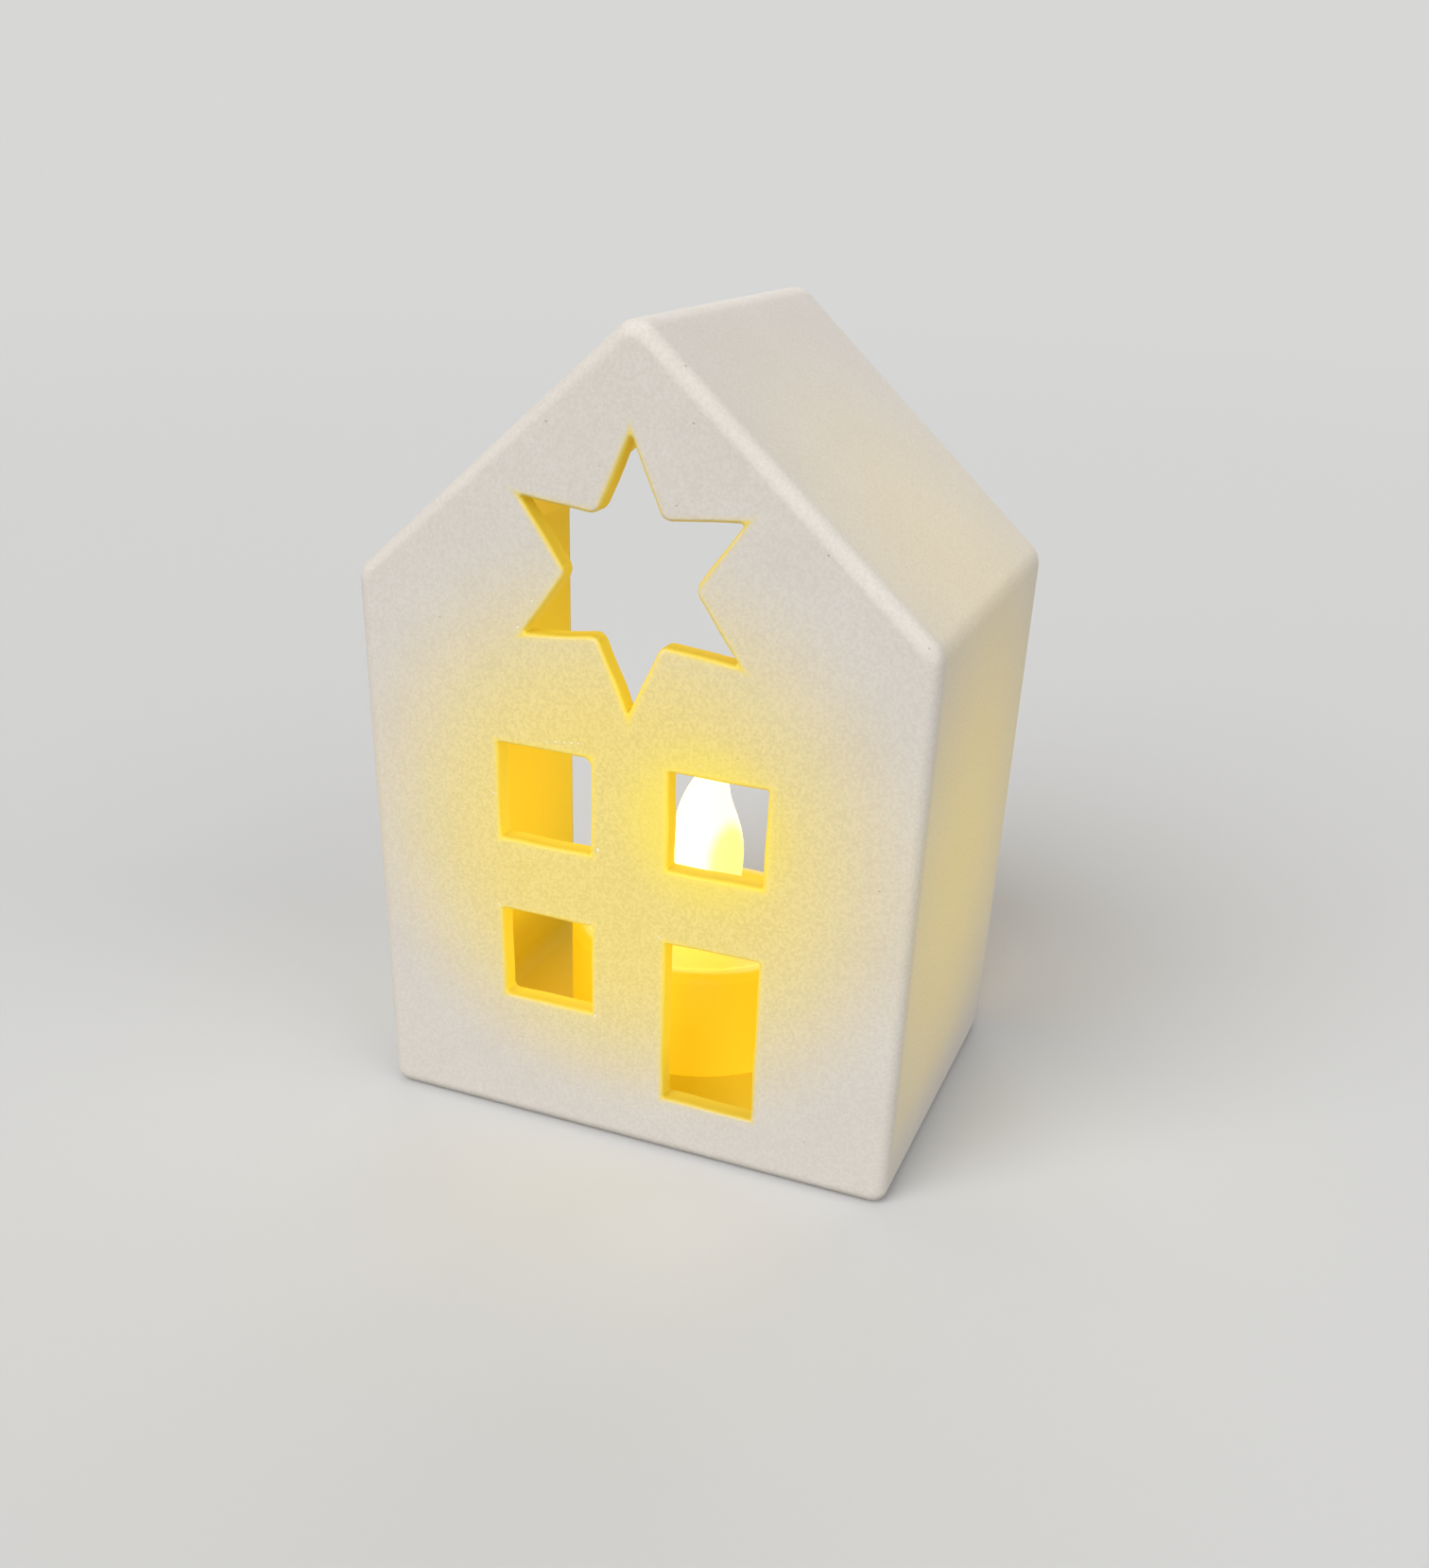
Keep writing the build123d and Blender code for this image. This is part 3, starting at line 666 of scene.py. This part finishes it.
def studio_world():
    """An even sky that gives a little light all round and shows as a pale backdrop."""
    world = bpy.data.worlds.new("studio")
    bpy.context.scene.world = world
    world.use_nodes = True
    world.node_tree.nodes.clear()
    nodes = Nodes(world.node_tree)
    sky = nodes.node("ShaderNodeBackground", inputs={"Color": (*sky_colour, 1.0), "Strength": sky_strength})
    backdrop = nodes.node("ShaderNodeBackground", inputs={"Color": (*background_colour, 1.0)})
    light = nodes.node("ShaderNodeMixShader", inputs={0: nodes.seen_directly(), 1: sky, 2: backdrop})
    nodes.node("ShaderNodeOutputWorld", inputs={"Surface": light})


def studio_floor():
    """A round pale floor, which fades into the backdrop."""
    mesh = bpy.data.meshes.new("floor")
    form = bmesh.new()
    bmesh.ops.create_circle(form, cap_ends=True, segments=96, radius=floor_radius)
    form.to_mesh(mesh)
    form.free()
    floor = bpy.data.objects.new("floor", mesh)
    bpy.context.scene.collection.objects.link(floor)
    finish = Finish("floor", 0.7, Specular_IOR_Level=0.0, Emission_Strength=1.0)
    seen = finish.seen_directly()
    far = finish.band(finish.distance((0, 0, 0)), *floor_fade)
    finish.set(Base_Color=finish.mix(far, finish.mix(seen, floor_bounce, floor_colour), no_light))
    finish.set(Emission_Color=finish.mix(far * seen, no_light, background_colour))
    mesh.materials.append(finish.material)


def soft_lamp(name, side, strength, spread):
    """A wide soft lamp, far off on one side, spread degrees across."""
    lamp = bpy.data.lights.new(name, "SUN")
    lamp.energy = strength
    lamp.angle = radians(spread)
    holder = bpy.data.objects.new(name, lamp)
    bpy.context.scene.collection.objects.link(holder)
    holder.rotation_euler = Vector(side).to_track_quat("Z", "Y").to_euler()


def photo_camera():
    """The camera of the photograph, which shows the frame's middle above the lens axis."""
    lens = bpy.data.cameras.new("camera")
    lens.sensor_fit = "AUTO"
    lens.sensor_width = sensor_size
    lens.lens = photo_focal_pixels / photo_height * sensor_size
    lens.shift_y = (photo_axis_row - photo_height / 2) / photo_height
    lens.clip_start = 0.01
    lens.clip_end = 20.0
    camera = bpy.data.objects.new("camera", lens)
    bpy.context.scene.collection.objects.link(camera)
    turn = Matrix.Rotation(camera_heading, 4, "Z") @ Matrix.Rotation(pi / 2 + camera_tilt, 4, "X")
    camera.matrix_world = Matrix.Translation(camera_place) @ turn @ Matrix.Rotation(camera_roll, 4, "Z")
    bpy.context.scene.camera = camera


dress_nodes()
hand_cut_shell()
clay_crumbs()
studio_world()
studio_floor()
for name, (side, strength, spread) in lamps.items():
    soft_lamp(name, side, strength, spread)
photo_camera()
bpy.context.scene.view_settings.view_transform = "Standard"
